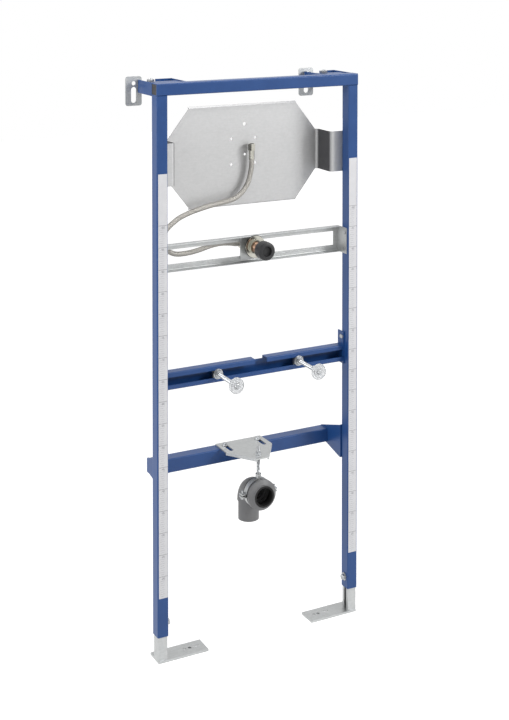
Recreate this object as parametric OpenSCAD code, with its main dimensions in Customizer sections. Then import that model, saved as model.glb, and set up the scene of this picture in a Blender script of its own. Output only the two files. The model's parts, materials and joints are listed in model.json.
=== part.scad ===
// Installation frame for a wall-hung urinal, to be built into a dry-lined wall.
// Two square steel uprights on telescopic legs carry a flush valve with its hose,
// a slotted channel with two studs, and a drain bend on a hanger.
// X runs across the frame, Y towards the wall and Z up. The modules place their pieces
// from the floor, half way between the uprights, in the plane of their front faces.

/* [Frame] */
// overall width over the two uprights
frame_w = 530; // [420:5:700]
// height of the top bar's upper face above the floor
frame_h = 1320; // [1100:10:1500]
// width of an upright's front face
tube_w = 27; // [22:1:40]
// depth of an upright and of the top bar
tube_d = 30; // [24:1:40]
// height of the top bar
bar_h = 28; // [22:1:40]
// wall thickness of the blue tubes
tube_t = 2; // [1.5:0.5:3]
// outer corner radius of the blue tubes
tube_r = 3; // [2:0.5:5]

/* [Legs] */
// height of the uprights' lower ends above the floor
leg_out = 60; // [30:5:150]
// length of a leg above the sole of its foot
leg_h = 320; // [280:10:400]
// gap between a leg and the inside of its upright
leg_play = 0.5; // [0.3:0.1:1]
// sheet thickness of a leg
leg_t = 2.5; // [2:0.5:4]
// width of the slot along a leg's inner side
leg_slot = 9; // [8:0.5:10]
// length of a foot plate across the frame
foot_l = 125; // [90:5:180]
// depth of a foot plate towards the wall
foot_d = 48; // [40:2:80]
// thickness of a foot plate
foot_t = 5; // [3:0.5:8]
// height of a clamp screw above its upright's lower end
clamp_up = 26; // [16:1:40]

/* [Wall brackets] */
// width of a bracket's blue cradle
cradle_w = 85; // [70:1:110]
// depth of a cradle behind the top bar
cradle_d = 78; // [50:1:120]
// distance from the top bar's back face to the back of the wall plates
wall_gap = 83; // [70:1:170]
// width of a wall plate
wall_plate_w = 40; // [30:1:60]
// height of a wall plate
wall_plate_h = 68; // [60:1:90]
// width of the upright slot in a wall plate
wall_slot_w = 13; // [9:0.5:16]
// length of the upright slot in a wall plate
wall_slot_l = 37; // [24:1:42]

/* [Valve plate] */
// distance from the top bar's upper face down to the valve plate's middle
valve_plate_down = 190; // [150:5:300]
// height of the valve plate over its folded edges
valve_plate_h = 242; // [160:2:300]
// distance between the plate's two side wings
valve_plate_w = 414; // [300:2:430]
// height of the side wings
wing_h = 98; // [60:2:140]
// distance from the uprights' back face to the plate
wing_d = 62; // [40:1:90]
// sheet thickness of the plate and of the valve rail
sheet_t = 1.5; // [1:0.25:3]

/* [Valve] */
// height of the flush valve's axis above the floor
valve_z = 920; // [700:5:1150]
// height of the sheet rail that carries the valve
rail_h = 63; // [50:1:90]
// depth of the rail's upper and lower flanges
rail_flange = 18; // [10:1:25]
// depth of the rail's web behind the uprights' back face
rail_back = 22; // [15:1:40]
// height of the long window in the rail
window_h = 34; // [32:1:40]
// diameter of the valve's cap
cap_d = 43; // [36:1:50]
// distance that the valve's cap stands before the front of the frame
cap_out = 30; // [15:1:60]

/* [Hose] */
// diameter of the braided hose
hose_d = 12; // [10:0.5:14]

/* [Fixing rail] */
// height of the stud rail's middle above the floor
fix_z = 636; // [400:5:800]
// height of the stud rail's channel
fix_h = 40; // [36:1:50]
// depth of the channel
fix_d = 25; // [20:1:30]
// sheet thickness of the channel
fix_t = 2.5; // [2:0.5:4]
// height of the channel's open slot
fix_gap = 18; // [14:1:22]
// distance between the two studs
stud_pitch = 215; // [150:5:360]
// thread diameter of a stud
stud_d = 10; // [8:1:12]
// distance that the stud caps stand before the front of the frame
stud_out = 82; // [60:1:120]
// diameter of a stud's plastic cap
stud_cap_d = 37; // [30:1:45]

/* [Drain] */
// height of the drain crossbar's upper face above the floor
drain_bar_z = 427; // [360:1:600]
// height and depth of the drain crossbar
drain_bar = 33; // [25:1:40]
// distance from the uprights' back face to the drain crossbar
drain_back = 62; // [40:1:90]
// height of the drain socket's axis above the floor
drain_z = 340; // [270:1:400]
// distance from the front of the frame to the hanger rod
hanger_y = 15; // [5:1:30]
// outer diameter of the drain bend's spigot
spigot_d = 50; // [40:1:63]
// outer diameter of the bend's socket under the clamp
neck_d = 60; // [56:1:80]
// outer diameter of the socket's front collar
collar_d = 72; // [66:1:88]

/* [Output] */
// smoothness of the round faces
facets = 48; // [24:8:96]
// piece to draw, or all of them

/* [Hidden] */
$fn = facets;
blue = [0.13, 0.29, 0.56];
galvanised = [0.76, 0.77, 0.78];
steel = [0.83, 0.84, 0.85];
chrome = [0.88, 0.87, 0.85];
brass = [0.62, 0.46, 0.36];
black = [0.10, 0.10, 0.11];
grey = [0.50, 0.50, 0.51];
white = [0.93, 0.93, 0.94];
half_w = frame_w / 2;
in_x = half_w - tube_w;
upright_top = frame_h - bar_h;
valve_plate_z = frame_h - valve_plate_down;
leg_w = tube_w - 2 * tube_t - 2 * leg_play;
leg_d = tube_d - 2 * tube_t - 2 * leg_play;
leg_x = half_w - tube_w / 2;
leg_y = tube_t + leg_play;
clamp_z = leg_out + clamp_up;
clamp_y = tube_d / 2;
label_w = tube_w - 5;
label_low = 150;
label_high = upright_top - 176;
wall_y = tube_d + wall_gap;
cradle_h = bar_h + 2;
cradle_x = [-half_w, half_w - cradle_w - 3];
bolt_x = [-half_w + 11, half_w - cradle_w - 3 + 27];
bolt_y = tube_d + 30;
bracket_t = 3;
plate_y = tube_d + wing_d;
rail_y = tube_d + rail_back;
window_low = valve_z - 23;
rail_low = window_low - 15;
fix_y = 20;
fix_plate_h = 78;
stud_x = [4 - stud_pitch / 2, 4 + stud_pitch / 2];
drain_y = tube_d + drain_back;
saddle_z = drain_bar_z;
socket_y = -5;
bend_r = 35;
plate_bend = 9;
top_half = 144;
plate_holes = [[3, 73, 9], [-32, 39, 6], [32, 39, 6], [-32, -22, 6], [32, -22, 6], [4, 0, 6]];
screw_d = 4.8;
stud_block_w = 22;
stud_block_h = 30;
stud_washer_d = 24;
nose_half = 16;
nose_y = -8;
shoulder_half = 62;
shoulder_y = 62;
lip_t = 3;
lip_h = 4;
bracket_bolt_x = 44;
bracket_slot_l = 50;
bracket_washer_d = 15;
screw_y = 14;
rail_screws = [rail_low + 12, rail_low + rail_h - 12];
window_x = 226;
bead_x = 190;
valve_body_d = 30;
valve_neck_d = 20;
valve_bore = 14;
valve_flange_d = 52;
foot_hole_d = 9;
foot_hole_y = 25;
dimple_deep = 3.5;
bracket_bolt_af = 15;
cap_back = -cap_out + 25;
boss_d = 16;
boss_gap = 2;
hose_r = hose_d / 2;
hose_sides = 10;
fix_screw_z = fix_z - fix_h / 2 + fix_plate_h - 17;
fix_screws = [22, 26];
gusset_high = drain_bar_z + 29;
gusset_low = drain_bar_z - 51;
gusset_screws = [gusset_low + 18, gusset_high - 20];
bracket_bolt_y = drain_y + 11;
rubber_t = 3;
hanger_low = drain_z + neck_d / 2 + rubber_t + 12;
band_w = 14;
ear_h = 9;
ear_screw_x = neck_d / 2 + rubber_t + 9;
outlet_bore = 42;
mouth_d = 54;
mouth_y = socket_y - 11;
seal_step_y = socket_y - 3;
bend_y = 30;
spigot_low = drain_z - 80;
elbow_d = 55;
// the origin: on the left wall plate's back face, just over the middle of its lower edge
origin = [bolt_x[0] - 1 - wall_plate_w / 2, wall_y, frame_h - 26 - wall_plate_h / 2 + 3];
// where the hose meets the valve's inlet boss
inlet = [-26, rail_y + 12, valve_z + 4];
// route of the braided hose's middle line from the inlet to its free end, as X, Y and Z from the inlet
hose_route = [
    [0, 0, 0], [-10, 0, 0], [-26, 0, 3], [-51, -1, 5], [-77, -1, 2], [-103, -1, -4], [-128, -1, -8],
    [-154, -1, -9], [-171, -1, -6], [-184, 0, 2], [-192, 0, 14], [-195, 1, 28], [-192, 1, 43],
    [-183, 1, 55], [-168, 2, 66], [-152, 3, 75], [-126, 4, 84], [-100, 5, 90], [-74, 6, 95],
    [-47, 7, 99], [-20, 8, 103], [-3, 9, 108], [11, 10, 117], [24, 11, 131], [32, 11, 147],
    [37, 12, 164], [40, 12, 182], [40, 12, 196]
];

// moves the model from the floor in the frame's middle to the origin on the wall plate
module from_wall() {
    translate(-origin) children();
}

// a bar or tube section with round corners, its near left corner at the origin
module round_rect(w, d, r) {
    translate([r, 0]) square([w - 2 * r, d]);
    translate([0, r]) square([w, d - 2 * r]);
    for (x = [r, w - r], y = [r, d - r]) translate([x, y]) circle(r);
}

// a rectangular tube's section
module tube_section(w, d) {
    difference() {
        round_rect(w, d, tube_r);
        translate([tube_t, tube_t]) square([w - 2 * tube_t, d - 2 * tube_t]);
    }
}

// a slot's outline, upright and centred
module slot(w, l) {
    hull_l = l - w;
    translate([-w / 2, -hull_l / 2]) square([w, hull_l]);
    for (y = [-hull_l / 2, hull_l / 2]) translate([0, y]) circle(w / 2);
}

// stands a flat outline up in the frame's plane, its front face at y
module upright_sheet(y, t) {
    translate([0, y + t, 0]) rotate([90, 0, 0]) linear_extrude(t) children();
}

// a cylinder along Y from y0 to y1
module along_y(x, z, y0, y1, d) {
    translate([x, y0, z]) rotate([-90, 0, 0]) cylinder(h = y1 - y0, d = d);
}

// a ring along Y
module ring_y(x, z, y0, y1, d, bore) {
    translate([x, y0, z]) rotate([-90, 0, 0]) difference() {
        cylinder(h = y1 - y0, d = d);
        translate([0, 0, -1]) cylinder(h = y1 - y0 + 2, d = bore);
    }
}

// a hexagon nut standing on the origin
module hex_nut(af, h, bore) {
    difference() {
        hex_head(af, h);
        translate([0, 0, -1]) cylinder(h = h + 2, d = bore);
    }
}

// a solid hexagon head standing on the origin, its upper corners rounded off
module hex_head(af, h) {
    intersection() {
        cylinder(h = h, d = af / cos(30), $fn = 6);
        cylinder(h = h, d1 = af / cos(30) + 2 * h, d2 = af - 0.5);
    }
}

// mirrors its children to the right-hand side
module right_side() {
    mirror([1, 0, 0]) children();
}

module upright() {
    difference() {
        translate([-half_w, 0, leg_out]) linear_extrude(upright_top - leg_out) tube_section(tube_w, tube_d);
        translate([-in_x - tube_t - 1, clamp_y, clamp_z]) rotate([0, 90, 0]) cylinder(h = tube_t + 2, d = 8.4);
        for (z = concat(gusset_screws, [valve_plate_z - 30, valve_plate_z + 30])) {
            along_y(-leg_x, z, tube_d - tube_t - 1, tube_d + 1, screw_d + 0.2);
        }
        for (z = rail_screws) side_hole(z, screw_y);
        for (y = fix_screws) side_hole(fix_screw_z, y);
    }
}

module left_upright() {
    color(blue) from_wall() upright();
}

module right_upright() {
    color(blue) from_wall() right_side() upright();
}

module top_bar() {
    color(blue) from_wall() translate([-half_w, 0, frame_h]) rotate([0, 90, 0]) linear_extrude(frame_w) tube_section(bar_h, tube_d);
}

// black plugs in the ends of the top bar
module top_bar_plugs() {
    plug = bar_h - 2 * tube_t - 0.4;
    color(black) from_wall() for (x = [-half_w + 0.5, half_w - 4.5]) {
        translate([x, tube_t + 0.2, upright_top + tube_t + 0.2]) cube([4, tube_d - 2 * tube_t - 0.4, plug]);
    }
}

// a C-shaped leg, open towards the frame's middle, welded to its foot plate; the through hole,
// the blind hole and the slot lie at their distances from the leg's outer face
module leg(hole_x, dimple_x, slot_x) {
    difference() {
        translate([-leg_x - leg_w / 2, leg_y, foot_t]) cube([leg_w, leg_d, leg_h - foot_t]);
        translate([-leg_x - leg_w / 2 + leg_t, leg_y + leg_t, foot_t - 1]) {
            cube([leg_w - 2 * leg_t, leg_d - 2 * leg_t, leg_h]);
        }
        translate([-leg_x, clamp_y - leg_slot / 2, foot_t]) cube([leg_w, leg_slot, leg_h]);
    }
    translate([-leg_x - leg_w / 2, 1, 0]) difference() {
        cube([foot_l, foot_d, foot_t]);
        translate([hole_x, foot_hole_y, -1]) cylinder(h = foot_t + 2, d = foot_hole_d);
        translate([dimple_x, foot_hole_y, foot_t - dimple_deep]) cylinder(h = foot_t, d = foot_hole_d - 1);
        translate([slot_x, foot_hole_y + 2, -1]) linear_extrude(foot_t + 2) rotate(90) slot(foot_hole_d, 17);
    }
}

module left_leg() {
    color(galvanised) from_wall() leg(75.5, 88.5, 105.5);
}

module right_leg() {
    color(galvanised) from_wall() right_side() leg(103.5, 92.5, 71.5);
}

// clamp screw of a leg: square plate inside the leg, shank, washer and nut
module clamp_screw() {
    translate([-in_x, clamp_y, clamp_z]) rotate([0, 90, 0]) {
        cylinder(h = 1.6, d = 19);
        translate([0, 0, 1.6]) hex_head(13, 6);
        translate([0, 0, -tube_t - leg_play - leg_t - 4]) cylinder(h = 14, d = 8);
        translate([-7, -7, -tube_t - leg_play - leg_t - 4.3]) cube([14, 14, 4]);
    }
}

module left_clamp_screw() {
    color(steel) from_wall() clamp_screw();
}

module right_clamp_screw() {
    color(steel) from_wall() right_side() clamp_screw();
}

// printed rule on the front of an upright
module rule_strip() {
    translate([-half_w + 3, -0.4, label_low]) cube([label_w, 0.4, label_high - label_low]);
}

module left_rule() {
    color(white) from_wall() rule_strip();
}

module right_rule() {
    color(white) from_wall() right_side() rule_strip();
}

// blue cradle welded behind the top bar, its left wall at x
module cradle(x) {
    z = frame_h - cradle_h;
    translate([x, tube_d, z]) cube([bracket_t, cradle_d, cradle_h]);
    translate([x + cradle_w - bracket_t, tube_d, z]) cube([bracket_t, cradle_d, cradle_h]);
    translate([x + cradle_w / 2, tube_d + cradle_d - bracket_t, z]) cube([cradle_w / 2, bracket_t, cradle_h]);
    difference() {
        translate([x, bolt_y - 13, frame_h - 5]) cube([cradle_w, 26, bracket_t]);
        for (b = bolt_x) translate([b, bolt_y, frame_h - 6]) cylinder(h = 5, d = 11);
    }
}

module left_cradle() {
    color(blue) from_wall() cradle(cradle_x[0]);
}

module right_cradle() {
    color(blue) from_wall() cradle(cradle_x[1]);
}

// galvanised wall plate with its arm, bolted under the cradle's strap at x
module wall_plate(x) {
    z = frame_h - 26;
    difference() {
        translate([x - 1 - wall_plate_w, 0, z - wall_plate_h / 2]) {
            upright_sheet(wall_y - bracket_t, bracket_t) round_rect(wall_plate_w, wall_plate_h, 6);
        }
        translate([x - 1 - wall_plate_w / 2, 0, z - 9]) {
            upright_sheet(wall_y - bracket_t - 1, bracket_t + 2) slot(wall_slot_w, wall_slot_l);
        }
        along_y(x - 1 - wall_plate_w / 2, z + 18, wall_y - bracket_t - 1, wall_y + 1, 10);
    }
    difference() {
        translate([x - 7.5, bolt_y - 12, frame_h - 8]) cube([18, wall_y - bracket_t - bolt_y + 12.1, bracket_t]);
        translate([x, bolt_y, frame_h - 9]) cylinder(h = 5, d = 9);
    }
}

module left_wall_plate() {
    color(galvanised) from_wall() wall_plate(bolt_x[0]);
}

module right_wall_plate() {
    color(galvanised) from_wall() wall_plate(bolt_x[1]);
}

module bracket_bolts() {
    color(steel) from_wall() for (x = bolt_x) translate([x, bolt_y, 0]) {
        translate([0, 0, frame_h - 8]) rotate([180, 0, 30]) hex_head(bracket_bolt_af, 6);
        translate([0, 0, frame_h - 10]) cylinder(h = 17, d = 8);
        translate([0, 0, frame_h - 2]) rotate(30) hex_nut(bracket_bolt_af, 7, 7.8);
    }
}

// an L-shaped strip of bent sheet, its outer corner at the origin
module angle_strip(w, d, t, r) {
    translate([r, 0]) square([w - r, t]);
    translate([0, r]) square([t, d - r]);
    intersection() {
        square(r);
        translate([r, r]) difference() {
            circle(r);
            circle(r - t);
        }
    }
}

// the plate's two wings: back from the plate and out over the uprights' back faces
module plate_wing() {
    half = valve_plate_w / 2;
    translate([0, 0, valve_plate_z - wing_h / 2]) linear_extrude(wing_h) {
        translate([half, plate_y + sheet_t]) rotate(180) angle_strip(plate_bend + 2, wing_d / 2 + 4, sheet_t, plate_bend);
        translate([half - sheet_t, tube_d]) angle_strip(half_w - 3 - half + sheet_t, wing_d / 2 + 4, sheet_t, plate_bend);
    }
}

module valve_plate() {
    half = valve_plate_w / 2 - plate_bend;
    top = valve_plate_h / 2 - 4;
    color(galvanised) from_wall() difference() {
        union() {
            translate([0, 0, valve_plate_z]) upright_sheet(plate_y, sheet_t) polygon([
                [-top_half, -top], [top_half, -top], [half, -wing_h / 2], [half, wing_h / 2],
                [top_half, top], [-top_half, top], [-half, wing_h / 2], [-half, -wing_h / 2]
            ]);
            for (m = [0, 1]) {
                translate([0, 0, valve_plate_z]) mirror([0, 0, m]) translate([-top_half, plate_y, top]) {
                    rotate([90, 0, 90]) linear_extrude(2 * top_half) polygon([
                        [0, -1], [sheet_t, -1], [sheet_t, 0], [4 + sheet_t, 4], [4, 4], [0, 0.6]
                    ]);
                }
                mirror([m, 0, 0]) plate_wing();
            }
        }
        for (h = plate_holes) along_y(h[0], valve_plate_z + h[1], plate_y - 1, plate_y + 3, h[2]);
        for (m = [-1, 1], z = [-30, 30]) {
            along_y(m * leg_x, valve_plate_z + z, tube_d - 1, tube_d + 3, screw_d + 0.2);
        }
    }
}

// pan-head screw along Y, its head's seat at y
module back_screw(x, z, y) {
    along_y(x, z, y, y + 2.6, 9);
    along_y(x, z, y - 8, y + 0.1, screw_d);
}

module valve_plate_screws() {
    color(steel) from_wall() for (m = [-1, 1], z = [-30, 30]) back_screw(m * leg_x, valve_plate_z + z, tube_d + sheet_t);
}

// sheet rail with a long window, its end plates on the uprights' inner faces
module valve_rail() {
    w = 2 * in_x - 3;
    color(galvanised) from_wall() difference() {
        union() {
            translate([-w / 2, rail_y - rail_flange, rail_low]) rotate([90, 0, 90]) linear_extrude(w) rail_section();
            for (m = [0, 1]) mirror([m, 0, 0]) translate([w / 2, 6, rail_low]) cube([1.5, rail_y - 6, rail_h]);
            translate([0, rail_y - sheet_t - 1, rail_low + 8]) upright_sheet(0, 1.2) rotate(90) slot(5, 2 * bead_x);
        }
        translate([-window_x, rail_y - 5, window_low]) cube([2 * window_x, 10, window_h]);
        for (x = [-26, 27], z = [-25, 15]) along_y(x, valve_z + z, rail_y - 5, rail_y + 1, screw_d + 0.2);
        for (z = rail_screws) side_hole(z, screw_y);
    }
}

// the rail's C-shaped section
module rail_section() {
    difference() {
        round_rect(rail_flange, rail_h, 3);
        translate([-5, sheet_t]) round_rect(rail_flange + 5 - sheet_t, rail_h - 2 * sheet_t, 2);
    }
}

// holes through both end plates and the uprights' inner walls
module side_hole(z, y) {
    translate([-half_w + 2.5, y, z]) rotate([0, 90, 0]) cylinder(h = frame_w - 5, d = screw_d + 0.2);
}

// screw through an end plate of thickness t into the left upright
module side_screw(z, y, t) {
    translate([-in_x + t, y, z]) rotate([0, 90, 0]) {
        cylinder(h = 2.6, d = 9);
        translate([0, 0, -t - 6]) cylinder(h = t + 6.1, d = screw_d);
    }
}

module valve_rail_screws() {
    color(steel) from_wall() for (m = [0, 1], z = rail_screws) mirror([m, 0, 0]) side_screw(z, screw_y, 1.5);
}

// plate that hooks the valve into the rail's window
module valve_carrier() {
    color(galvanised) from_wall() difference() {
        translate([-31, rail_y - sheet_t - 3.3, valve_z - 31]) cube([62, 2.1, 53]);
        along_y(0, valve_z, rail_y - 9, rail_y, valve_body_d + 0.4);
    }
}

// nickel body of the stop valve, its neck in the rail's window and its inlet boss behind
module valve_body() {
    color(chrome) from_wall() difference() {
        union() {
            along_y(0, valve_z, 20, rail_y - 8, valve_body_d + 4);
            along_y(0, valve_z, 20, rail_y - sheet_t - 0.7, valve_body_d);
            along_y(0, valve_z, 20, rail_y + 1, valve_neck_d);
            along_y(0, valve_z, rail_y + 0.7, rail_y + 26, valve_body_d);
            translate(inlet + [boss_gap, 0, 0]) rotate([0, 90, 0]) cylinder(h = 24, d = boss_d);
        }
        along_y(0, valve_z, 19, rail_y + 22, valve_bore);
    }
}

// nickel ring screwed against the carrier
module valve_flange() {
    color(chrome) from_wall() ring_y(0, valve_z, 28, 31, valve_flange_d, valve_body_d + 4.4);
}

// brass thread between the body and the cap
module valve_thread() {
    color(brass) from_wall() ring_y(0, valve_z, cap_back, 20, 26, valve_bore);
}

module valve_cap() {
    color(black) from_wall() {
        ring_y(0, valve_z, -cap_out + 1.5, cap_back, cap_d, 20);
        along_y(0, valve_z, -cap_out + 8, -cap_out + 10, 21);
        ring_y(0, valve_z, -cap_out, -cap_out + 2, cap_d - 4, 24);
    }
}

function unit(v) = v / norm(v);

// direction of the hose at point i of its route
function hose_dir(i) = unit(hose_route[min(i + 1, len(hose_route) - 1)] - hose_route[max(i - 1, 0)]);

// one ring of the hose at point i
function hose_ring(i) =
    let (t = hose_dir(i), a = unit(cross(t, [0, 1, 0])), b = cross(t, a))
    [for (k = [0 : hose_sides - 1]) inlet + hose_route[i] + hose_r * (cos(k * 360 / hose_sides) * a + sin(k * 360 / hose_sides) * b)];

module supply_hose() {
    rings = len(hose_route);
    points = [for (i = [0 : rings - 1]) each hose_ring(i)];
    sides = [for (i = [0 : rings - 2], k = [0 : hose_sides - 1]) let (n = (k + 1) % hose_sides)
        [i * hose_sides + k, (i + 1) * hose_sides + k, (i + 1) * hose_sides + n, i * hose_sides + n]];
    first = [for (k = [0 : hose_sides - 1]) k];
    last = [for (k = [hose_sides - 1 : -1 : 0]) (rings - 1) * hose_sides + k];
    color(steel) from_wall() polyhedron(points, concat(sides, [first], [last]));
}

// nut that screws the hose to the valve's inlet boss
module hose_inlet_nut() {
    color(chrome) from_wall() translate(inlet) rotate([0, 90, 0]) difference() {
        cylinder(h = 10, d = 19 / cos(30), $fn = 6);
        translate([0, 0, boss_gap]) cylinder(h = 14, d = boss_d + 0.2);
    }
}

// sleeve and open union nut at the hose's free end
module hose_end_nut() {
    color(chrome) from_wall() translate(inlet + hose_route[len(hose_route) - 1]) {
        cylinder(h = 21, d = 13.6);
        translate([0, 0, 21]) difference() {
            cylinder(h = 16, d = 16 / cos(30), $fn = 6);
            translate([0, 0, 2]) cylinder(h = 16, d = 12);
        }
    }
}

// slotted channel that carries the two studs, its upper lip cut away near the middle
module fixing_rail() {
    w = 2 * in_x - 6;
    z = fix_z - fix_h / 2;
    color(blue) from_wall() difference() {
        union() {
            translate([-w / 2, fix_y, z]) rotate([90, 0, 90]) linear_extrude(w) channel_section();
            for (m = [0, 1]) mirror([m, 0, 0]) translate([w / 2, fix_y - 3, z - 5]) cube([3, 26, fix_plate_h]);
        }
        translate([-6, fix_y - 1, fix_z]) cube([32, fix_d - fix_t + 1, fix_h]);
        translate([-6, fix_y - 1, fix_z + fix_h / 2 - 8]) cube([32, fix_d + 2, fix_h]);
        for (y = fix_screws) side_hole(fix_screw_z, y);
    }
}

// the channel's section, open to the front
module channel_section() {
    difference() {
        round_rect(fix_d, fix_h, 3);
        translate([fix_t, fix_t]) square([fix_d - 2 * fix_t, fix_h - 2 * fix_t]);
        translate([-1, fix_h / 2 - fix_gap / 2]) square([fix_t + 2, fix_gap]);
    }
}

module fixing_rail_screws() {
    color(steel) from_wall() for (m = [0, 1], y = fix_screws) mirror([m, 0, 0]) side_screw(fix_screw_z, y, 3);
}

// a threaded stud with the square nut that holds it inside the channel
module stud(x) {
    along_y(x, fix_z, -stud_out, fix_y + fix_t + 8, stud_d);
    translate([x - stud_block_w / 2, fix_y + fix_t + 0.1, fix_z - stud_block_h / 2]) {
        cube([stud_block_w, 7, stud_block_h]);
    }
}

module left_stud() {
    color(steel) from_wall() stud(stud_x[0]);
}

module right_stud() {
    color(steel) from_wall() stud(stud_x[1]);
}

// washers and nuts on the front of the channel
module stud_nuts() {
    color(steel) from_wall() for (x = stud_x) {
        ring_y(x, fix_z, fix_y - 2, fix_y, stud_washer_d, stud_d + 0.2);
        translate([x, fix_y - 2, fix_z]) rotate([90, 0, 0]) hex_nut(17, 8, stud_d + 0.2);
    }
}

// translucent plastic caps with a collar on the studs' ends
module stud_caps() {
    color(white) from_wall() for (x = stud_x) {
        ring_y(x, fix_z, -stud_out + 3, -stud_out + 9, stud_cap_d, stud_d + 0.2);
        ring_y(x, fix_z, -stud_out + 9, -stud_out + 22, 18, stud_d + 0.2);
    }
}

module drain_crossbar() {
    w = 2 * in_x - 6;
    color(blue) from_wall() difference() {
        union() {
            translate([-w / 2, drain_y, drain_bar_z - drain_bar]) rotate([90, 0, 90]) {
                linear_extrude(w) tube_section(drain_bar, drain_bar);
            }
            for (m = [0, 1]) mirror([m, 0, 0]) drain_gusset();
        }
        for (m = [-1, 1], z = gusset_screws) along_y(m * leg_x, z, tube_d - 1, tube_d + 5, screw_d + 0.2);
        for (m = [-1, 1]) translate([m * bracket_bolt_x, bracket_bolt_y, drain_bar_z - 5]) cylinder(h = 10, d = 6.4);
    }
}

// gusset of the drain crossbar with its flange on the upright's back face
module drain_gusset() {
    back = drain_y + drain_bar;
    translate([in_x - 3, 0, 0]) rotate([90, 0, 90]) linear_extrude(3) polygon([
        [back, drain_bar_z], [tube_d, gusset_high], [tube_d, gusset_low],
        [tube_d + 6, gusset_low], [back - 15, drain_bar_z - drain_bar], [back, drain_bar_z - drain_bar]
    ]);
    translate([in_x - 3, tube_d, gusset_low]) cube([tube_w, 3, gusset_high - gusset_low]);
}

module drain_crossbar_screws() {
    color(steel) from_wall() for (m = [-1, 1], z = gusset_screws) back_screw(m * leg_x, z, tube_d + 3);
}

// galvanised plate that reaches forward from the crossbar and holds the hanger
module drain_bracket() {
    color(galvanised) from_wall() difference() {
        union() {
            translate([0, 0, saddle_z]) linear_extrude(3) saddle_outline();
            for (m = [0, 1]) mirror([m, 0, 0]) translate([0, 0, saddle_z - lip_h]) linear_extrude(lip_h + 1) polygon([
                [shoulder_half, shoulder_y], [nose_half, nose_y],
                [nose_half - lip_t, nose_y + 2], [shoulder_half - lip_t, shoulder_y + 2]
            ]);
        }
        for (m = [-1, 1]) translate([m * bracket_bolt_x, bracket_bolt_y - 14, saddle_z - 1]) {
            linear_extrude(6) slot(10, bracket_slot_l);
        }
        translate([0, hanger_y, saddle_z - 1]) cylinder(h = 6, d = 8.6);
    }
}

// outline of the bracket from above
module saddle_outline() {
    back = drain_y + drain_bar - 3;
    polygon([
        [1 - shoulder_half, back], [-shoulder_half, shoulder_y], [-nose_half, nose_y],
        [nose_half, nose_y], [shoulder_half, shoulder_y], [shoulder_half - 1, back]
    ]);
}

module drain_bracket_bolts() {
    color(steel) from_wall() for (m = [-1, 1]) translate([m * bracket_bolt_x, bracket_bolt_y, saddle_z + 3]) {
        cylinder(h = 1.6, d = bracket_washer_d);
        translate([0, 0, 1.6]) hex_head(10, 5);
        translate([0, 0, -9]) cylinder(h = 10, d = 6);
    }
}

module hanger_rod() {
    color(steel) from_wall() translate([0, hanger_y, hanger_low]) cylinder(h = saddle_z + 23 - hanger_low, d = 8);
}

// nuts above and below the bracket on the hanger rod
module hanger_nuts() {
    color(steel) from_wall() translate([0, hanger_y, saddle_z]) {
        translate([0, 0, 3]) hex_nut(13, 6.5, 8.2);
        translate([0, 0, -6.5]) hex_nut(13, 6.5, 8.2);
    }
}

// steel clamp in two halves with ears, its boss carried by the hanger rod
module pipe_clamp() {
    r = neck_d / 2 + rubber_t;
    color(galvanised) from_wall() {
        difference() {
            union() {
                ring_y(0, drain_z, hanger_y - band_w / 2, hanger_y + band_w / 2, 2 * r + 4, 2 * r);
                for (m = [-1, 1]) translate([m * (r + 7) - 7, hanger_y - band_w / 2, drain_z - ear_h / 2]) {
                    cube([14, band_w, ear_h]);
                }
            }
            for (m = [-1, 1]) translate([m * ear_screw_x, hanger_y, drain_z - 10]) cylinder(h = 20, d = 5);
            along_y(0, drain_z, hanger_y - band_w, hanger_y + band_w, 2 * r);
            translate([-100, hanger_y - 15, drain_z - 1.5]) cube([200, 30, 3]);
        }
        translate([0, hanger_y, hanger_low - 8]) cylinder(h = 8, d = 13 / cos(30), $fn = 6);
        translate([0, hanger_y, drain_z + r + 1]) cylinder(h = hanger_low - drain_z - r - 2, d = 10);
    }
}

module clamp_screws() {
    color(steel) from_wall() for (m = [-1, 1]) translate([m * ear_screw_x, hanger_y, drain_z]) {
        translate([0, 0, -ear_h / 2 - 3.4]) cylinder(h = 3.4, d = 8.4);
        translate([0, 0, -ear_h / 2]) cylinder(h = ear_h + 7, d = screw_d);
    }
}

// rubber lining between the clamp and the bend
module clamp_rubber() {
    r = neck_d / 2;
    color(black) from_wall() ring_y(0, drain_z, hanger_y - 12, hanger_y + 12, 2 * (r + rubber_t), 2 * r + 0.2);
}

// plastic bend with a collared, tapering socket at the front and a spigot below
module drain_bend() {
    color(grey) from_wall() {
        translate([0, 0, drain_z]) rotate([-90, 0, 0]) rotate_extrude() polygon([
            [mouth_d / 2 - 2, mouth_y], [mouth_d / 2, mouth_y], [mouth_d / 2, mouth_y + 4],
            [collar_d / 2, socket_y], [collar_d / 2, socket_y + 7], [neck_d / 2, socket_y + 7],
            [neck_d / 2, bend_y - 3], [elbow_d / 2, bend_y], [spigot_d / 2 - 3, bend_y],
            [spigot_d / 2 - 3, bend_y - 4], [neck_d / 2 - 3, bend_y - 4],
            [neck_d / 2 - 3, seal_step_y], [mouth_d / 2 - 2, seal_step_y]
        ]);
        translate([0, bend_y, drain_z - bend_r]) rotate([0, -90, 0]) rotate_extrude(angle = 90) {
            translate([bend_r, 0]) difference() {
                circle(elbow_d / 2);
                circle(spigot_d / 2 - 3);
            }
        }
        translate([0, bend_y + bend_r, spigot_low]) difference() {
            cylinder(h = drain_z - bend_r - spigot_low, d = spigot_d);
            translate([0, 0, -1]) cylinder(h = drain_z - bend_r - spigot_low + 2, d = spigot_d - 6);
        }
    }
}

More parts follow.
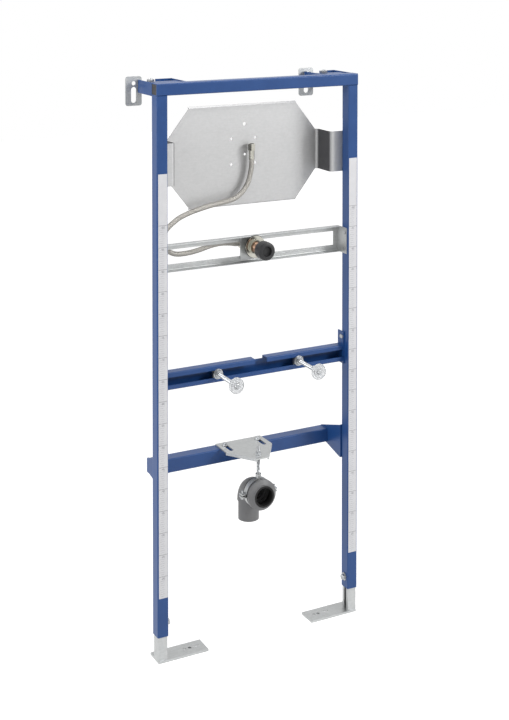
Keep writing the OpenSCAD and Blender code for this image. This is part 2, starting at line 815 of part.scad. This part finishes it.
// lip seal inside the socket, its sleeve reaching just out of the mouth
module drain_seal() {
    color(black) from_wall() translate([0, 0, drain_z]) rotate([-90, 0, 0]) rotate_extrude() polygon([
        [outlet_bore / 2, mouth_y - 1], [mouth_d / 2 - 2, mouth_y - 1], [mouth_d / 2 - 2, seal_step_y],
        [neck_d / 2 - 3, seal_step_y], [neck_d / 2 - 3, seal_step_y + 18], [neck_d / 2 - 5, seal_step_y + 18],
        [outlet_bore / 2 + 2, seal_step_y + 8], [outlet_bore / 2, seal_step_y + 8]
    ]);
}

left_upright();
right_upright();
top_bar();
top_bar_plugs();
left_leg();
right_leg();
left_clamp_screw();
right_clamp_screw();
left_rule();
right_rule();
left_cradle();
right_cradle();
left_wall_plate();
right_wall_plate();
bracket_bolts();
valve_plate();
valve_plate_screws();
valve_rail();
valve_rail_screws();
valve_carrier();
valve_body();
valve_flange();
valve_thread();
valve_cap();
supply_hose();
hose_inlet_nut();
hose_end_nut();
fixing_rail();
fixing_rail_screws();
left_stud();
right_stud();
stud_nuts();
stud_caps();
drain_crossbar();
drain_crossbar_screws();
drain_bracket();
drain_bracket_bolts();
hanger_rod();
hanger_nuts();
pipe_clamp();
clamp_screws();
clamp_rubber();
drain_bend();
drain_seal();
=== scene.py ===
import json
import math

import bpy
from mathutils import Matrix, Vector

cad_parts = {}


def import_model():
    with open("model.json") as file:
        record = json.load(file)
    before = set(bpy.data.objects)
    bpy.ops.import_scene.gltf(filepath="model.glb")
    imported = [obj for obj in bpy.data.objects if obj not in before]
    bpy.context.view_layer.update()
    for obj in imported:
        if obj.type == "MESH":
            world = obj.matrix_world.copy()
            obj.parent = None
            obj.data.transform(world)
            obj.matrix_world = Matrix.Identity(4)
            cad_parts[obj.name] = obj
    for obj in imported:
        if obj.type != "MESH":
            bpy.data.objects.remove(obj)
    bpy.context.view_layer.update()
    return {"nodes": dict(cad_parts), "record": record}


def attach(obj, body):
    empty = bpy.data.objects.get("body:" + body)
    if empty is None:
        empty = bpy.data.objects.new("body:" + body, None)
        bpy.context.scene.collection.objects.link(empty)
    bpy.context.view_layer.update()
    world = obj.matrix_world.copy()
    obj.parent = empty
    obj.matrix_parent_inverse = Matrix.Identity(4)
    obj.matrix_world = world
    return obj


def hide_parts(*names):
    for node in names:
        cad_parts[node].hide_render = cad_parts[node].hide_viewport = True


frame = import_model()

# Points are given in millimetres from the floor, half way between the uprights, as in the part's source
ORIGIN = Vector((-275.0, 113.0, 1263.0))
INLET = Vector((-26, 64, 924))
HOSE_DIAMETER = 12.0
HOSE_ROUTE = [
    (0, 0, 0), (-10, 0, 0), (-26, 0, 3), (-51, -1, 5), (-77, -1, 2), (-103, -1, -4), (-128, -1, -8),
    (-154, -1, -9), (-171, -1, -6), (-184, 0, 2), (-192, 0, 14), (-195, 1, 28), (-192, 1, 43),
    (-183, 1, 55), (-168, 2, 66), (-152, 3, 75), (-126, 4, 84), (-100, 5, 90), (-74, 6, 95),
    (-47, 7, 99), (-20, 8, 103), (-3, 9, 108), (11, 10, 117), (24, 11, 131), (32, 11, 147),
    (37, 12, 164), (40, 12, 182), (40, 12, 196),
]
STUD_X = (-103.5, 111.5)
RULE_FRONT = -0.46
# The floor lies just under the soles of the legs when they are drawn out all the way
FLOOR_Z = -151.0
SEGMENTS = {
    "0": "abcdef", "1": "bc", "2": "abged", "3": "abgcd", "4": "fgbc",
    "5": "afgcd", "6": "afgedc", "7": "abc", "8": "abcdefg", "9": "abcdfg",
}


def at(point):
    """A point from the floor in millimetres as a point of the frame in metres."""
    return (Vector(point) - ORIGIN) / 1000


def camera():
    data = bpy.data.cameras.new("camera")
    data.sensor_width = 36.0
    data.lens = 66.9
    data.shift_y = -0.5207
    data.clip_end = 50
    eye = bpy.data.objects.new("camera", data)
    eye.location = at((-1454.8, -2746.7, 1630.0))
    eye.rotation_euler = (math.radians(88.3), 0.0, math.radians(-27.613))
    bpy.context.scene.collection.objects.link(eye)
    bpy.context.scene.camera = eye


# Shader groups that the materials share

def shader_group(name, inputs):
    tree = bpy.data.node_groups.new(name, "ShaderNodeTree")
    for label, value in inputs:
        socket = tree.interface.new_socket(label, in_out="INPUT", socket_type="NodeSocketFloat")
        socket.default_value = value
    tree.interface.new_socket("Value", in_out="OUTPUT", socket_type="NodeSocketFloat")
    return tree, tree.nodes.new("NodeGroupInput"), tree.nodes.new("NodeGroupOutput")


def calculate(tree, operation, first, second=0.0):
    node = tree.nodes.new("ShaderNodeMath")
    node.operation = operation
    for socket, value in zip(node.inputs, (first, second)):
        if isinstance(value, (int, float)):
            socket.default_value = value
        else:
            tree.links.new(value, socket)
    return node.outputs[0]


def speckle_group():
    tree, entry, leave = shader_group("speckle", [("Scale", 60.0)])
    place = tree.nodes.new("ShaderNodeTexCoord")
    noise = tree.nodes.new("ShaderNodeTexNoise")
    noise.inputs["Detail"].default_value = 4.0
    tree.links.new(place.outputs["Object"], noise.inputs["Vector"])
    tree.links.new(entry.outputs["Scale"], noise.inputs["Scale"])
    tree.links.new(noise.outputs[0], leave.inputs[0])
    return tree


def rolled_group():
    """Fine lines along X, as rolling leaves them in sheet steel, over crystals of zinc."""
    tree, entry, leave = shader_group("rolled_zinc", [("Scale", 60.0)])
    place = tree.nodes.new("ShaderNodeTexCoord")
    stretch = tree.nodes.new("ShaderNodeMapping")
    stretch.inputs["Scale"].default_value = (0.12, 1.0, 1.0)
    noise = tree.nodes.new("ShaderNodeTexNoise")
    noise.inputs["Detail"].default_value = 3.0
    cells = tree.nodes.new("ShaderNodeTexVoronoi")
    cells.inputs["Scale"].default_value = 210.0
    split = tree.nodes.new("ShaderNodeSeparateColor")
    tree.links.new(place.outputs["Object"], stretch.inputs["Vector"])
    tree.links.new(stretch.outputs[0], noise.inputs["Vector"])
    tree.links.new(entry.outputs["Scale"], noise.inputs["Scale"])
    tree.links.new(place.outputs["Object"], cells.inputs["Vector"])
    tree.links.new(cells.outputs["Color"], split.inputs[0])
    lines = calculate(tree, "MULTIPLY", noise.outputs[0], 0.75)
    crystals = calculate(tree, "MULTIPLY", split.outputs[0], 0.25)
    tree.links.new(calculate(tree, "ADD", lines, crystals), leave.inputs[0])
    return tree


def braid_group():
    """Two sets of diagonal strands round the hose."""
    tree, entry, leave = shader_group("braid", [("Scale", 14.0)])
    place = tree.nodes.new("ShaderNodeTexCoord")
    split = tree.nodes.new("ShaderNodeSeparateXYZ")
    tree.links.new(place.outputs["UV"], split.inputs[0])
    round_it = calculate(tree, "MULTIPLY", split.outputs[0], entry.outputs["Scale"])
    along = calculate(tree, "MULTIPLY", split.outputs[1], entry.outputs["Scale"])
    one = calculate(tree, "MULTIPLY", calculate(tree, "ADD", round_it, along), 2 * math.pi)
    two = calculate(tree, "MULTIPLY", calculate(tree, "SUBTRACT", round_it, along), 2 * math.pi)
    top = calculate(tree, "MAXIMUM", calculate(tree, "SINE", one), calculate(tree, "SINE", two))
    half = calculate(tree, "MULTIPLY", top, 0.5)
    tree.links.new(calculate(tree, "ADD", half, 0.5), leave.inputs[0])
    return tree


def pattern(tree, group, scale):
    node = tree.nodes.new("ShaderNodeGroup")
    node.node_tree = group
    node.inputs["Scale"].default_value = scale
    return node.outputs[0]


def between(tree, value, low, high):
    node = tree.nodes.new("ShaderNodeMapRange")
    tree.links.new(value, node.inputs["Value"])
    node.inputs["To Min"].default_value = low
    node.inputs["To Max"].default_value = high
    return node.outputs["Result"]


def blend(tree, factor, dark, light):
    node = tree.nodes.new("ShaderNodeMix")
    node.data_type = "RGBA"
    tree.links.new(factor, node.inputs[0])
    for socket, colour in ((node.inputs[6], dark), (node.inputs[7], light)):
        if isinstance(colour, tuple):
            socket.default_value = (*colour, 1.0)
        else:
            tree.links.new(colour, socket)
    return node.outputs[2]


def finish_of(name, dark, light, rough, metallic=0.0, specular=0.5, group="speckle", scale=60.0,
              relief=0.05, relief_scale=700.0):
    """A material whose colour and roughness vary softly, with a fine relief."""
    made = bpy.data.materials.new(name)
    made.use_nodes = True
    tree = made.node_tree
    surface = tree.nodes["Principled BSDF"]
    tone = pattern(tree, groups[group], scale)
    tree.links.new(blend(tree, tone, dark, light), surface.inputs["Base Color"])
    tree.links.new(between(tree, tone, rough[0], rough[1]), surface.inputs["Roughness"])
    surface.inputs["Metallic"].default_value = metallic
    surface.inputs["Specular IOR Level"].default_value = specular
    bump = tree.nodes.new("ShaderNodeBump")
    bump.inputs["Strength"].default_value = relief
    bump.inputs["Distance"].default_value = 0.0004
    height = pattern(tree, groups["braid" if group == "braid" else "speckle"], scale if group == "braid" else relief_scale)
    tree.links.new(height, bump.inputs["Height"])
    tree.links.new(bump.outputs[0], surface.inputs["Normal"])
    return made


def plate_with_painted_wing_shade():
    """The valve plate's galvanised sheet, with painted shade on its two wings: where the sheet turns sideways its
    colour is darkened to stand in for the dark reflection seen there.
    """
    made = finish_of("valve_plate_sheet_painted_wing_shade", (0.40, 0.40, 0.40), (0.50, 0.50, 0.50), (0.42, 0.55), 0.75,
                     group="rolled", scale=380.0)
    tree = made.node_tree
    surface = tree.nodes["Principled BSDF"]
    sheet = surface.inputs["Base Color"].links[0].from_socket
    facing = tree.nodes.new("ShaderNodeNewGeometry")
    split = tree.nodes.new("ShaderNodeSeparateXYZ")
    tree.links.new(facing.outputs["Normal"], split.inputs[0])
    # Painted shade: faces turned sideways, as on the wings, blend to a dark grey that stands in for their dark
    # reflection
    painted_wing_shade_mask = tree.nodes.new("ShaderNodeMapRange")
    tree.links.new(calculate(tree, "ABSOLUTE", split.outputs[0]), painted_wing_shade_mask.inputs["Value"])
    painted_wing_shade_mask.inputs["From Min"].default_value = 0.45
    painted_wing_shade_mask.inputs["From Max"].default_value = 0.95
    tree.links.new(blend(tree, painted_wing_shade_mask.outputs["Result"], sheet, (0.09, 0.09, 0.095)), surface.inputs["Base Color"])
    return made


def cap_finish():
    """Translucent white plastic of the stud caps."""
    made = finish_of("milky_plastic", (0.74, 0.75, 0.76), (0.84, 0.85, 0.86), (0.22, 0.34), scale=90.0)
    surface = made.node_tree.nodes["Principled BSDF"]
    surface.inputs["Transmission Weight"].default_value = 0.55
    surface.inputs["IOR"].default_value = 1.45
    return made


groups = {"speckle": speckle_group(), "rolled": rolled_group(), "braid": braid_group()}


def make_materials():
    return {
        "blue_paint": finish_of("blue_powder_coat", (0.007, 0.044, 0.165), (0.012, 0.060, 0.208),
                                (0.30, 0.42), 0.0, 0.4, scale=30.0, relief=0.12, relief_scale=520.0),
        "galvanised_sheet": finish_of("galvanised_sheet", (0.36, 0.37, 0.37), (0.54, 0.55, 0.55),
                                      (0.36, 0.52), 0.8, group="rolled", scale=380.0),
        "zinc_hardware": finish_of("zinc_hardware", (0.26, 0.27, 0.28), (0.52, 0.53, 0.54),
                                   (0.22, 0.36), 0.9, scale=160.0),
        "nickel": finish_of("nickel_plating", (0.42, 0.41, 0.36), (0.60, 0.59, 0.53), (0.14, 0.24), 1.0,
                            scale=70.0),
        "brass_thread": finish_of("dull_brass", (0.16, 0.10, 0.07), (0.26, 0.17, 0.12), (0.30, 0.42), 1.0,
                                  scale=120.0),
        "hose_braid": finish_of("steel_braid", (0.10, 0.096, 0.088), (0.40, 0.385, 0.355), (0.30, 0.48), 0.85,
                                group="braid", scale=14.0, relief=0.9),
        "black_plastic": finish_of("black_plastic", (0.010, 0.010, 0.011), (0.020, 0.020, 0.022),
                                   (0.34, 0.48), 0.0, 0.4, scale=80.0, relief=0.15),
        # Black for the ring of painted shade round the valve flange
        "black_rubber": finish_of("black_rubber", (0.007, 0.007, 0.007), (0.013, 0.013, 0.013),
                                  (0.55, 0.72), 0.0, 0.25, scale=80.0, relief=0.2),
        "grey_plastic": finish_of("grey_drain_plastic", (0.125, 0.125, 0.127), (0.165, 0.165, 0.168),
                                  (0.38, 0.50), 0.0, 0.4, scale=45.0, relief=0.12),
        "white_print": finish_of("white_print", (0.54, 0.54, 0.56), (0.62, 0.62, 0.635), (0.40, 0.50),
                                 scale=50.0),
        "clear_plastic": cap_finish(),
        "print_grey": finish_of("grey_print", (0.16, 0.16, 0.18), (0.24, 0.24, 0.26), (0.45, 0.55),
                                scale=90.0),
    }


# Mesh forms, all in millimetres from the floor

def add(name, points, faces, finish, body="frame", hides=(), smooth=True):
    mesh = bpy.data.meshes.new(name)
    mesh.from_pydata([at(p) for p in points], [], faces)
    mesh.validate()
    mesh.polygons.foreach_set("use_smooth", [smooth] * len(mesh.polygons))
    if smooth:
        mesh.set_sharp_from_angle(angle=math.radians(35))
    mesh.materials.append(materials[finish])
    made = bpy.data.objects.new(name, mesh)
    bpy.context.scene.collection.objects.link(made)
    if hides:
        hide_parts(*hides)
    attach(made, body)
    return made


def across(axis):
    """Two unit vectors at right angles to axis."""
    side = axis.cross(Vector((0, 0, 1) if abs(axis.z) < 0.9 else (1, 0, 0))).normalized()
    return side, axis.cross(side).normalized()


def turned(centre, axis, profile, sides=64, ribs=0.0):
    """A closed ring turned from (radius, height) points round axis."""
    side, up = across(axis)
    outer = max(r for r, h in profile) - 0.4
    points = []
    for r, h in profile:
        for k in range(sides):
            angle = 2 * math.pi * k / sides
            reach = r - ribs * (k % 2) if r > outer else r
            points.append(centre + axis * h + (side * math.cos(angle) + up * math.sin(angle)) * reach)
    count = len(profile)
    faces = []
    for i in range(count):
        for k in range(sides):
            a, b = i * sides, (i + 1) % count * sides
            n = (k + 1) % sides
            faces.append((a + k, a + n, b + n, b + k))
    return points, faces


def threaded(centre, axis, outer, inner, length, pitch, sides=18):
    """A rod with a helical thread, closed at both ends."""
    side, up = across(axis)
    rings = int(4 * length / pitch)
    points = []
    for i in range(rings + 1):
        height = length * i / rings
        for k in range(sides):
            phase = (height / pitch - k / sides) % 1.0
            reach = inner + (outer - inner) * (1 - abs(2 * phase - 1))
            if i in (0, rings):
                reach = inner * 0.94
            angle = 2 * math.pi * k / sides
            points.append(centre + axis * height + (side * math.cos(angle) + up * math.sin(angle)) * reach)
    faces = [tuple(range(sides)), tuple(rings * sides + k for k in range(sides))]
    for i in range(rings):
        for k in range(sides):
            n = (k + 1) % sides
            faces.append((i * sides + k, i * sides + n, (i + 1) * sides + n, (i + 1) * sides + k))
    return points, faces


def block(low, high):
    points = [Vector((x, y, z)) for x in (low[0], high[0]) for y in (low[1], high[1]) for z in (low[2], high[2])]
    return points, [(0, 1, 3, 2), (4, 6, 7, 5), (0, 4, 5, 1), (2, 3, 7, 6), (0, 2, 6, 4), (1, 5, 7, 3)]


def joined(*forms):
    points, faces = [], []
    for more_points, more_faces in forms:
        faces += [tuple(len(points) + i for i in face) for face in more_faces]
        points += more_points
    return points, faces


def smooth_route(route, steps=6):
    """More points between those of a route, on a soft curve through them."""
    path = []
    for i in range(len(route) - 1):
        a, b = route[max(i - 1, 0)], route[i]
        c, d = route[i + 1], route[min(i + 2, len(route) - 1)]
        for s in range(steps):
            t = s / steps
            path.append(0.5 * (2 * b + (c - a) * t + (2 * a - 5 * b + 4 * c - d) * t * t
                               + (3 * b - a - 3 * c + d) * t * t * t))
    return path + [route[-1]]


def tube(path, radius, sides=24, ripple=0.0):
    """A tube along path, its places round and along it for a pattern."""
    points, places, run = [], [], 0.0
    side = None
    for i, middle in enumerate(path):
        way = (path[min(i + 1, len(path) - 1)] - path[max(i - 1, 0)]).normalized()
        side = across(way)[0] if side is None else (side - way * side.dot(way)).normalized()
        up = way.cross(side)
        run += (middle - path[i - 1]).length if i else 0.0
        reach = radius * (1 + ripple * math.sin(i * 1.9))
        for k in range(sides):
            angle = 2 * math.pi * k / sides
            points.append(middle + (side * math.cos(angle) + up * math.sin(angle)) * reach)
        places.append(run / (2 * math.pi * radius))
    faces, spots = [], []
    for i in range(len(path) - 1):
        for k in range(sides):
            n = (k + 1) % sides
            faces.append((i * sides + k, (i + 1) * sides + k, (i + 1) * sides + n, i * sides + n))
            u, w = k / sides, (k + 1) / sides
            spots += [(u, places[i]), (u, places[i + 1]), (w, places[i + 1]), (w, places[i])]
    return points, faces, spots


# The frame's own pieces

def supply_hose():
    path = smooth_route([INLET + Vector(p) for p in HOSE_ROUTE])
    points, faces, spots = tube(path, HOSE_DIAMETER / 2)
    hose = add("braided_hose", points, faces, "hose_braid", hides=("supply_hose",))
    layer = hose.data.uv_layers.new(name="round_and_along")
    for corner, spot in zip(layer.data, spots):
        corner.uv = spot


def studs():
    for name, x in zip(("left_stud", "right_stud"), STUD_X):
        rod = threaded(Vector((x, -82, 636)), Vector((0, 1, 0)), 5.0, 4.35, 112.4, 1.5)
        nut = block((x - 11, 22.6, 621), (x + 11, 29.6, 651))
        points, faces = joined(rod, nut)
        add(name + "_thread", points, faces, "zinc_hardware", hides=(name,))


def stud_caps():
    profile = [
        (5.4, 0.6), (9.5, 0.6), (10.3, 0.0), (12.4, 0.0), (13.2, 1.6), (16.4, 1.6), (17.1, 0.4), (18.0, 0.5),
        (18.5, 1.4), (18.5, 5.0), (17.9, 6.0), (10.0, 6.3), (9.0, 7.2), (8.8, 18.4), (8.2, 19.0), (5.4, 19.0),
    ]
    rings = [turned(Vector((x, -79, 636)), Vector((0, 1, 0)), profile) for x in STUD_X]
    points, faces = joined(*rings)
    add("moulded_stud_caps", points, faces, "clear_plastic", hides=("stud_caps",))


def hanger_rod():
    low = 385.0
    points, faces = threaded(Vector((0, 15, low)), Vector((0, 0, 1)), 4.0, 3.45, 450 - low, 1.25)
    add("hanger_rod_thread", points, faces, "zinc_hardware", hides=("hanger_rod",))


def valve():
    points, faces = threaded(Vector((0, -5, 920)), Vector((0, 1, 0)), 13.0, 12.1, 25, 1.8, 48)
    add("valve_thread_turns", points, faces, "brass_thread", hides=("valve_thread",))
    profile = [
        (0.4, -22.0), (9.8, -22.0), (10.6, -22.6), (11.8, -26.0), (12.0, -29.3), (12.7, -30.0), (18.6, -30.0),
        (19.4, -29.5), (19.6, -28.6), (20.6, -28.2), (21.4, -27.2), (21.5, -26.0), (21.5, -8.0), (21.3, -6.0),
        (20.4, -5.0), (10.0, -5.0), (10.0, -20.0), (0.4, -20.0),
    ]
    points, faces = turned(Vector((0, 0, 920)), Vector((0, 1, 0)), profile, 96, 0.35)
    add("ribbed_valve_cap", points, faces, "black_plastic", hides=("valve_cap",))
    # Painted shade: a thin black ring behind the flange's rim stands in for the dark outline of shadow and dark
    # reflection round the flange
    shade_ring_profile = [(24.6, 31.1), (26.6, 31.1), (26.9, 31.6), (26.6, 32.4), (24.6, 32.4)]
    points, faces = turned(Vector((0, 0, 920)), Vector((0, 1, 0)), shade_ring_profile)
    add("flange_painted_shade_ring", points, faces, "black_rubber")


def bar(x, z, w, h):
    """A printed bar on the front of a rule, its middle at x and z."""
    y = RULE_FRONT
    points = [Vector((x + a * w / 2, y, z + b * h / 2)) for a, b in ((-1, -1), (1, -1), (1, 1), (-1, 1))]
    return points, [(0, 1, 2, 3)]


def figure(sign, x, z, h):
    """One plain figure of a rule's numbers, h tall."""
    w, t = h * 0.5, h * 0.14
    bars = {
        "a": (0, h / 2, w, t), "d": (0, -h / 2, w, t), "g": (0, 0, w, t),
        "b": (w / 2, h / 4, t, h / 2), "c": (w / 2, -h / 4, t, h / 2),
        "f": (-w / 2, h / 4, t, h / 2), "e": (-w / 2, -h / 4, t, h / 2),
    }
    return [bar(x + bars[s][0], z + bars[s][1], bars[s][2], bars[s][3]) for s in SEGMENTS[sign]]


def rule_marks(name, middle):
    forms = []
    for z in range(155, 1001, 5):
        if z % 50 == 0:
            forms.append(bar(middle, z, 21.0, 0.9))
            text = str(z // 10)
            for i, sign in enumerate(text):
                forms += figure(sign, middle + (i - (len(text) - 1) / 2) * 3.4, z - 4.6, 4.2)
        else:
            forms.append(bar(middle - 2.5, z, 12.0 if z % 10 == 0 else 8.0, 0.35))
    points, faces = joined(*forms)
    add(name, points, faces, "print_grey", smooth=False)


def leg_welds():
    for side, body in ((-1, "left_leg"), (1, "right_leg")):
        path = [Vector((side * x, 2.4, 5.2)) for x in range(242, 262)]
        points, faces, spots = tube(path, 1.3, 10, 0.18)
        add(body + "_front_weld", points, faces, "zinc_hardware", body=body)


def gusset_welds():
    forms = []
    for side in (-1, 1):
        path = [Vector((side * 234.4, y, 427.2)) for y in range(94, 124, 2)]
        forms.append(tube(path, 1.2, 10, 0.15)[:2])
    points, faces = joined(*forms)
    add("crossbar_welds", points, faces, "blue_paint")


def dress_nodes():
    for part in frame["record"]["subparts"]:
        node = frame["nodes"][part["node"]]
        node.data.materials.clear()
        node.data.materials.append(materials[part["material_slot"]])
    # The valve plate gets the sheet with painted shade on its wings
    plate = frame["nodes"]["valve_plate"]
    plate.data.materials.clear()
    plate.data.materials.append(plate_with_painted_wing_shade())


# The studio

def seen_rays(tree):
    """1 for the rays that show the background itself or its reflection."""
    path = tree.nodes.new("ShaderNodeLightPath")
    both = calculate(tree, "MAXIMUM", path.outputs["Is Camera Ray"], path.outputs["Is Glossy Ray"])
    return calculate(tree, "MAXIMUM", both, path.outputs["Is Transmission Ray"])


def world():
    studio = bpy.data.worlds.new("studio")
    bpy.context.scene.world = studio
    studio.use_nodes = True
    tree = studio.node_tree
    sky = tree.nodes["Background"]
    sky.inputs["Color"].default_value = (1, 1, 1, 1)
    tree.links.new(between(tree, seen_rays(tree), 0.45, 1.0), sky.inputs["Strength"])


def floor():
    reach = 9000
    mesh = bpy.data.meshes.new("floor")
    corners = [(x, y, FLOOR_Z) for x, y in ((-reach, -reach), (reach, -reach), (reach, reach), (-reach, reach))]
    mesh.from_pydata([at(p) for p in corners], [], [(0, 1, 2, 3)])
    plane = bpy.data.objects.new("floor", mesh)
    bpy.context.scene.collection.objects.link(plane)
    pale = finish_of("pale_floor", (0.78, 0.78, 0.78), (0.80, 0.80, 0.80), (0.8, 0.9), scale=1.0, relief=0.0)
    tree = pale.node_tree
    surface = tree.nodes["Principled BSDF"]
    surface.inputs["Emission Color"].default_value = (1, 1, 1, 1)
    place = tree.nodes.new("ShaderNodeTexCoord")
    away = tree.nodes.new("ShaderNodeVectorMath")
    away.operation = "LENGTH"
    tree.links.new(place.outputs["Object"], away.inputs[0])
    far = tree.nodes.new("ShaderNodeMapRange")
    tree.links.new(away.outputs["Value"], far.inputs["Value"])
    far.inputs["From Min"].default_value = 1.6
    far.inputs["From Max"].default_value = 6.0
    far.inputs["To Min"].default_value = 0.36
    far.inputs["To Max"].default_value = 0.68
    glow = calculate(tree, "MULTIPLY", far.outputs["Result"], seen_rays(tree))
    tree.links.new(glow, surface.inputs["Emission Strength"])
    mesh.materials.append(pale)


def lamp(name, place, aim, size, power):
    data = bpy.data.lights.new(name, "AREA")
    data.size = size
    data.energy = power
    made = bpy.data.objects.new(name, data)
    made.location = at(place)
    made.rotation_euler = (at(aim) - at(place)).to_track_quat("-Z", "Y").to_euler()
    bpy.context.scene.collection.objects.link(made)


camera()
materials = make_materials()
supply_hose()
dress_nodes()
studs()
stud_caps()
hanger_rod()
valve()
rule_marks("left_rule_marks", -251)
rule_marks("right_rule_marks", 251)
leg_welds()
gusset_welds()
world()
floor()
lamp("key", (2300, -2300, 2300), (0, 50, 900), 0.9, 75)
lamp("left_fill", (-3200, -300, 1500), (0, 0, 700), 1.6, 60)
lamp("top", (0, -400, 3600), (0, 0, 700), 2.0, 50)
bpy.context.scene.view_settings.view_transform = "Standard"
